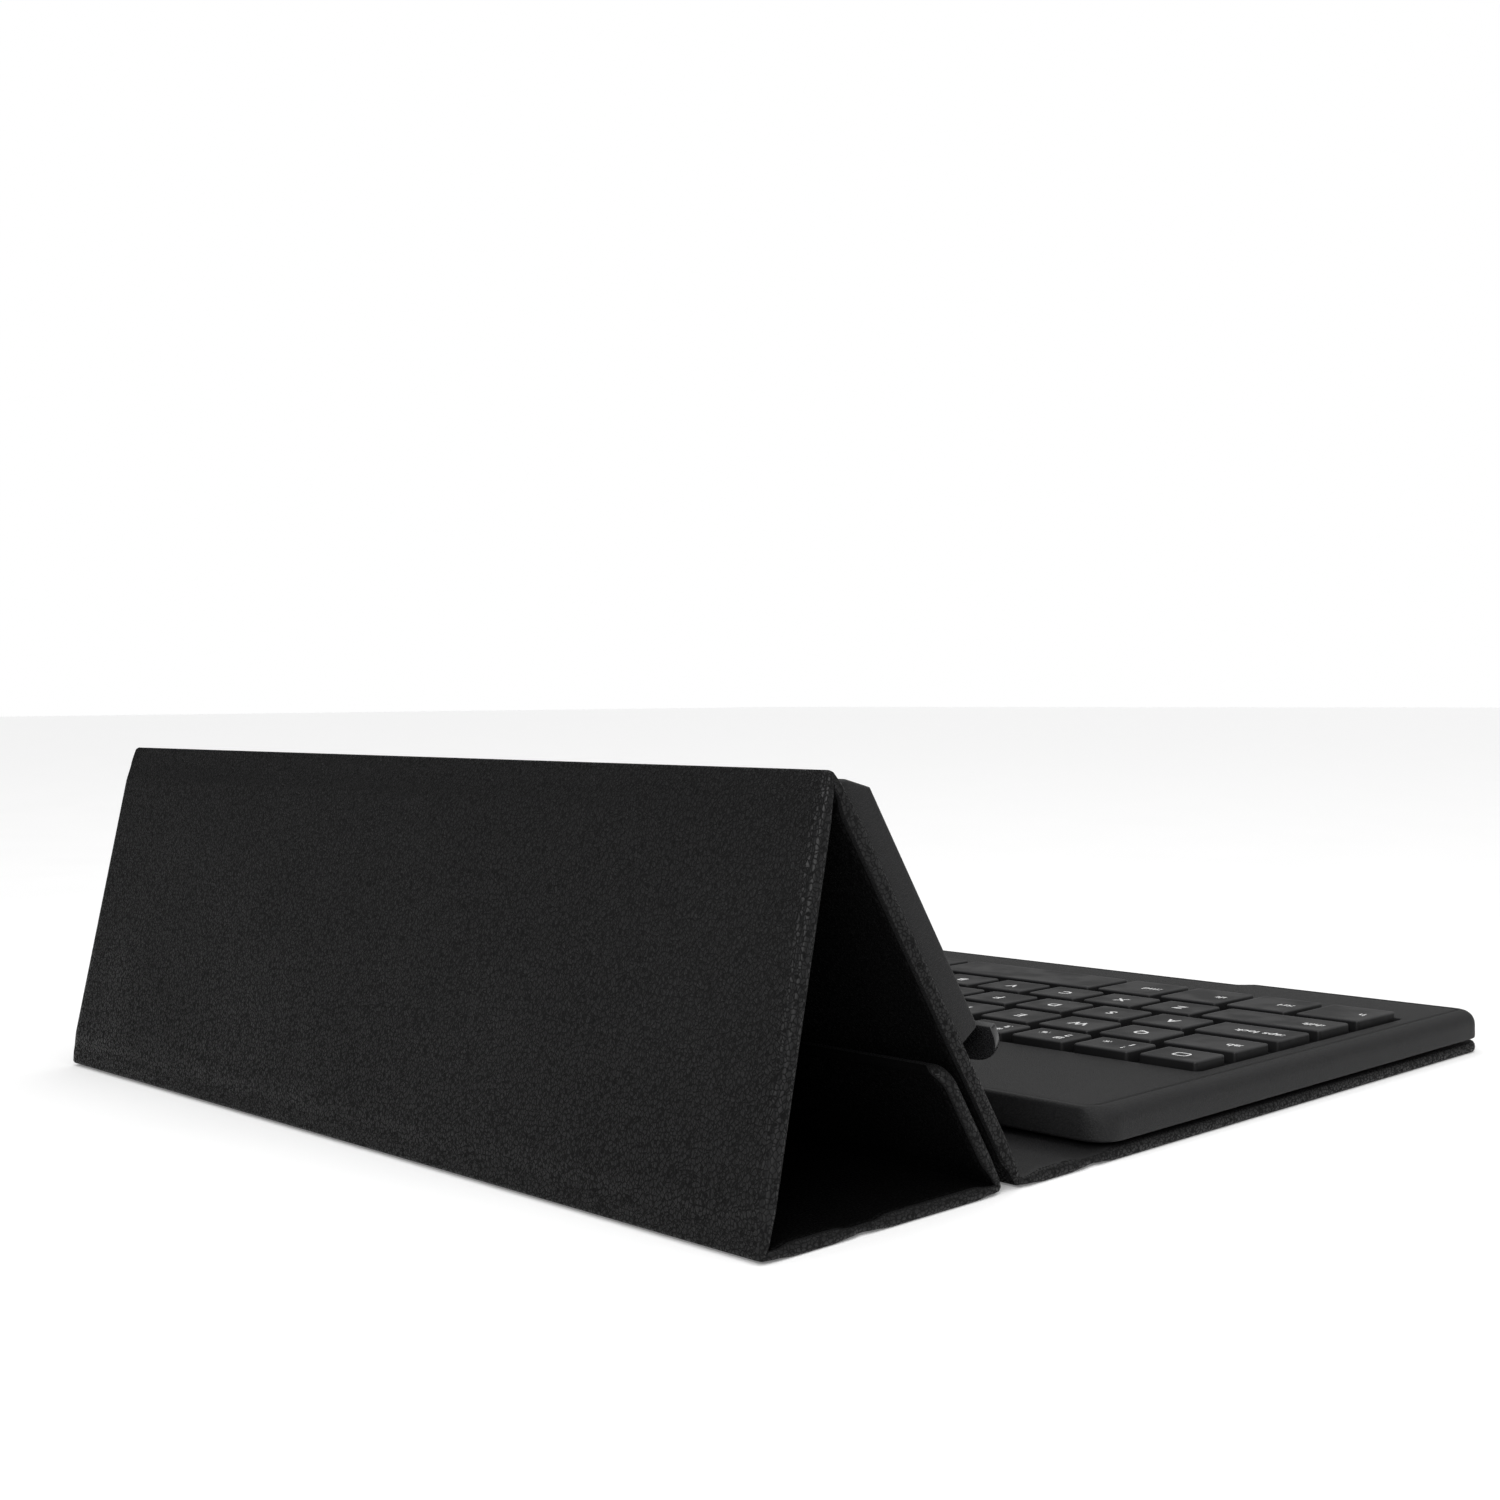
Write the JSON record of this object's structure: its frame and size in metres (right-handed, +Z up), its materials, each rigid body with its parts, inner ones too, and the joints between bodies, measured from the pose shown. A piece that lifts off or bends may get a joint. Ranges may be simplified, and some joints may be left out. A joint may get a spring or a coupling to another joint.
{
  "type": "tablet keyboard case",
  "caption": "Folio case for a small tablet: a keyboard on the front cover, a half-height tray for the tablet and a rear panel and flap that fold into a triangular stand.",
  "frame": {"origin": "middle of the standing case's footprint, on the table", "axes": "+Z up, +X to the user's right, +Y away from the user, so the keyboard is at -Y and the stand at +Y"},
  "size_m": [0.2127, 0.2209, 0.0681],
  "materials": {
    "wrapped_leather": "soft grained black synthetic leather",
    "fold_leather": "smooth thin black synthetic leather",
    "fibreboard": "plain grey-brown fibreboard",
    "magnet": "nickel plated",
    "case_plastic": "fine matt black",
    "keycap_plastic": "satin black with white legends",
    "dome_rubber": "soft grey silicone",
    "circuit_green": "green lacquer",
    "battery_foil": "dull foil",
    "socket_metal": "plated",
    "screw_steel": "zinc plated",
    "pad_foam": "black adhesive felt"
  },
  "bodies": {
    "front_cover": {"front_cover_panel": "wrapped_leather", "front_cover_board": "fibreboard", "spine_fold_strip": "fold_leather", "keyboard_mounting_pads": "pad_foam", "keyboard_bottom_case": "case_plastic", "keyboard_lid": "wrapped_leather", "dome_sheet": "dome_rubber", "circuit_board": "circuit_green", "battery_cell": "battery_foil", "charging_socket": "socket_metal", "case_screws": "screw_steel", "key_frame": "case_plastic"},
    "spine": {"spine_panel": "wrapped_leather", "foot_fold_strip": "fold_leather"},
    "holder": {"holder_back_panel": "wrapped_leather", "holder_board": "fibreboard", "holder_magnets": "magnet", "apex_fold_strip": "fold_leather", "tray_left_wall": "wrapped_leather", "tray_right_wall": "wrapped_leather", "tray_bottom_channel": "wrapped_leather"},
    "rear_stand": {"rear_stand_panel": "wrapped_leather", "rear_stand_board": "fibreboard", "back_fold_strip": "fold_leather"},
    "flap_edge": {"flap_edge_panel": "wrapped_leather", "flap_fold_strip": "fold_leather"},
    "flap_base": {"flap_base_panel": "wrapped_leather", "tip_fold_strip": "fold_leather"},
    "flap_tip": {"flap_tip_panel": "wrapped_leather", "flap_tip_magnets": "magnet"},
    "power_switch": {"power_switch": "case_plastic"},
    "number_row_keys": {"number_row_keys": "keycap_plastic"},
    "function_keys": {"function_keys": "keycap_plastic"},
    "key_space_bar": {"key_space_bar": "keycap_plastic"},
    "key_a": {"key_a": "keycap_plastic"},
    "key_b": {"key_b": "keycap_plastic"},
    "key_c": {"key_c": "keycap_plastic"},
    "key_d": {"key_d": "keycap_plastic"},
    "key_e": {"key_e": "keycap_plastic"},
    "key_f": {"key_f": "keycap_plastic"},
    "key_g": {"key_g": "keycap_plastic"},
    "key_h": {"key_h": "keycap_plastic"},
    "key_i": {"key_i": "keycap_plastic"},
    "key_j": {"key_j": "keycap_plastic"},
    "key_k": {"key_k": "keycap_plastic"},
    "key_l": {"key_l": "keycap_plastic"},
    "key_m": {"key_m": "keycap_plastic"},
    "key_n": {"key_n": "keycap_plastic"},
    "key_o": {"key_o": "keycap_plastic"},
    "key_p": {"key_p": "keycap_plastic"},
    "key_q": {"key_q": "keycap_plastic"},
    "key_r": {"key_r": "keycap_plastic"},
    "key_s": {"key_s": "keycap_plastic"},
    "key_t": {"key_t": "keycap_plastic"},
    "key_u": {"key_u": "keycap_plastic"},
    "key_v": {"key_v": "keycap_plastic"},
    "key_w": {"key_w": "keycap_plastic"},
    "key_x": {"key_x": "keycap_plastic"},
    "key_y": {"key_y": "keycap_plastic"},
    "key_z": {"key_z": "keycap_plastic"}
  },
  "joints": [
    {"name": "spine_fold", "type": "hinge", "parent": "front_cover", "child": "spine", "pos_m": [0, 0.0329, 0.0011], "axis": [1, 0, 0], "range_deg": [0, 90]},
    {"name": "holder_fold", "type": "hinge", "parent": "spine", "child": "holder", "pos_m": [0, 0.0522, 0.0011], "axis": [1, 0, 0], "range_deg": [-57.3, 33.62]},
    {"name": "stand_fold", "type": "hinge", "parent": "holder", "child": "rear_stand", "pos_m": [0, 0.09461, 0.06716], "axis": [1, 0, 0], "range_deg": [0, 135.04]},
    {"name": "flap_edge_fold", "type": "hinge", "parent": "rear_stand", "child": "flap_edge", "pos_m": [0, 0.10896, 0.0011], "axis": [1, 0, 0], "range_deg": [0, 178]},
    {"name": "flap_base_fold", "type": "hinge", "parent": "flap_edge", "child": "flap_base", "pos_m": [0, 0.08896, 0.0011], "axis": [1, 0, 0], "range_deg": [0, 103.34]},
    {"name": "flap_tip_fold", "type": "hinge", "parent": "flap_base", "child": "flap_tip", "pos_m": [0, 0.0572, 0.0011], "axis": [1, 0, 0], "range_deg": [0, 122.7]},
    {"name": "number_row_press", "type": "slide", "parent": "front_cover", "child": "number_row_keys", "axis": [0, 0, -1], "range_m": [0, 0.0014], "stiffness_N_per_m": 300, "springref_m": -0.0006},
    {"name": "function_keys_press", "type": "slide", "parent": "front_cover", "child": "function_keys", "axis": [0, 0, -1], "range_m": [0, 0.0014], "stiffness_N_per_m": 300, "springref_m": -0.0006},
    {"name": "space_bar_press", "type": "slide", "parent": "front_cover", "child": "key_space_bar", "axis": [0, 0, -1], "range_m": [0, 0.0014], "stiffness_N_per_m": 300, "springref_m": -0.0006},
    {"name": "key_a_press", "type": "slide", "parent": "front_cover", "child": "key_a", "axis": [0, 0, -1], "range_m": [0, 0.0014], "stiffness_N_per_m": 300, "springref_m": -0.0006},
    {"name": "key_b_press", "type": "slide", "parent": "front_cover", "child": "key_b", "axis": [0, 0, -1], "range_m": [0, 0.0014], "stiffness_N_per_m": 300, "springref_m": -0.0006},
    {"name": "key_c_press", "type": "slide", "parent": "front_cover", "child": "key_c", "axis": [0, 0, -1], "range_m": [0, 0.0014], "stiffness_N_per_m": 300, "springref_m": -0.0006},
    {"name": "key_d_press", "type": "slide", "parent": "front_cover", "child": "key_d", "axis": [0, 0, -1], "range_m": [0, 0.0014], "stiffness_N_per_m": 300, "springref_m": -0.0006},
    {"name": "key_e_press", "type": "slide", "parent": "front_cover", "child": "key_e", "axis": [0, 0, -1], "range_m": [0, 0.0014], "stiffness_N_per_m": 300, "springref_m": -0.0006},
    {"name": "key_f_press", "type": "slide", "parent": "front_cover", "child": "key_f", "axis": [0, 0, -1], "range_m": [0, 0.0014], "stiffness_N_per_m": 300, "springref_m": -0.0006},
    {"name": "key_g_press", "type": "slide", "parent": "front_cover", "child": "key_g", "axis": [0, 0, -1], "range_m": [0, 0.0014], "stiffness_N_per_m": 300, "springref_m": -0.0006},
    {"name": "key_h_press", "type": "slide", "parent": "front_cover", "child": "key_h", "axis": [0, 0, -1], "range_m": [0, 0.0014], "stiffness_N_per_m": 300, "springref_m": -0.0006},
    {"name": "key_i_press", "type": "slide", "parent": "front_cover", "child": "key_i", "axis": [0, 0, -1], "range_m": [0, 0.0014], "stiffness_N_per_m": 300, "springref_m": -0.0006},
    {"name": "key_j_press", "type": "slide", "parent": "front_cover", "child": "key_j", "axis": [0, 0, -1], "range_m": [0, 0.0014], "stiffness_N_per_m": 300, "springref_m": -0.0006},
    {"name": "key_k_press", "type": "slide", "parent": "front_cover", "child": "key_k", "axis": [0, 0, -1], "range_m": [0, 0.0014], "stiffness_N_per_m": 300, "springref_m": -0.0006},
    {"name": "key_l_press", "type": "slide", "parent": "front_cover", "child": "key_l", "axis": [0, 0, -1], "range_m": [0, 0.0014], "stiffness_N_per_m": 300, "springref_m": -0.0006},
    {"name": "key_m_press", "type": "slide", "parent": "front_cover", "child": "key_m", "axis": [0, 0, -1], "range_m": [0, 0.0014], "stiffness_N_per_m": 300, "springref_m": -0.0006},
    {"name": "key_n_press", "type": "slide", "parent": "front_cover", "child": "key_n", "axis": [0, 0, -1], "range_m": [0, 0.0014], "stiffness_N_per_m": 300, "springref_m": -0.0006},
    {"name": "key_o_press", "type": "slide", "parent": "front_cover", "child": "key_o", "axis": [0, 0, -1], "range_m": [0, 0.0014], "stiffness_N_per_m": 300, "springref_m": -0.0006},
    {"name": "key_p_press", "type": "slide", "parent": "front_cover", "child": "key_p", "axis": [0, 0, -1], "range_m": [0, 0.0014], "stiffness_N_per_m": 300, "springref_m": -0.0006},
    {"name": "key_q_press", "type": "slide", "parent": "front_cover", "child": "key_q", "axis": [0, 0, -1], "range_m": [0, 0.0014], "stiffness_N_per_m": 300, "springref_m": -0.0006},
    {"name": "key_r_press", "type": "slide", "parent": "front_cover", "child": "key_r", "axis": [0, 0, -1], "range_m": [0, 0.0014], "stiffness_N_per_m": 300, "springref_m": -0.0006},
    {"name": "key_s_press", "type": "slide", "parent": "front_cover", "child": "key_s", "axis": [0, 0, -1], "range_m": [0, 0.0014], "stiffness_N_per_m": 300, "springref_m": -0.0006},
    {"name": "key_t_press", "type": "slide", "parent": "front_cover", "child": "key_t", "axis": [0, 0, -1], "range_m": [0, 0.0014], "stiffness_N_per_m": 300, "springref_m": -0.0006},
    {"name": "key_u_press", "type": "slide", "parent": "front_cover", "child": "key_u", "axis": [0, 0, -1], "range_m": [0, 0.0014], "stiffness_N_per_m": 300, "springref_m": -0.0006},
    {"name": "key_v_press", "type": "slide", "parent": "front_cover", "child": "key_v", "axis": [0, 0, -1], "range_m": [0, 0.0014], "stiffness_N_per_m": 300, "springref_m": -0.0006},
    {"name": "key_w_press", "type": "slide", "parent": "front_cover", "child": "key_w", "axis": [0, 0, -1], "range_m": [0, 0.0014], "stiffness_N_per_m": 300, "springref_m": -0.0006},
    {"name": "key_x_press", "type": "slide", "parent": "front_cover", "child": "key_x", "axis": [0, 0, -1], "range_m": [0, 0.0014], "stiffness_N_per_m": 300, "springref_m": -0.0006},
    {"name": "key_y_press", "type": "slide", "parent": "front_cover", "child": "key_y", "axis": [0, 0, -1], "range_m": [0, 0.0014], "stiffness_N_per_m": 300, "springref_m": -0.0006},
    {"name": "key_z_press", "type": "slide", "parent": "front_cover", "child": "key_z", "axis": [0, 0, -1], "range_m": [0, 0.0014], "stiffness_N_per_m": 300, "springref_m": -0.0006},
    {"name": "power_switch_slide", "type": "slide", "parent": "front_cover", "child": "power_switch", "axis": [0, 1, 0], "range_m": [0, 0.003]}
  ],
  "couplings": [
    {"joint": "flap_edge_fold", "follows": "stand_fold", "ratio": 1.3181},
    {"joint": "flap_base_fold", "follows": "stand_fold", "ratio": 0.7652},
    {"joint": "flap_tip_fold", "follows": "stand_fold", "ratio": 0.9086}
  ]
}
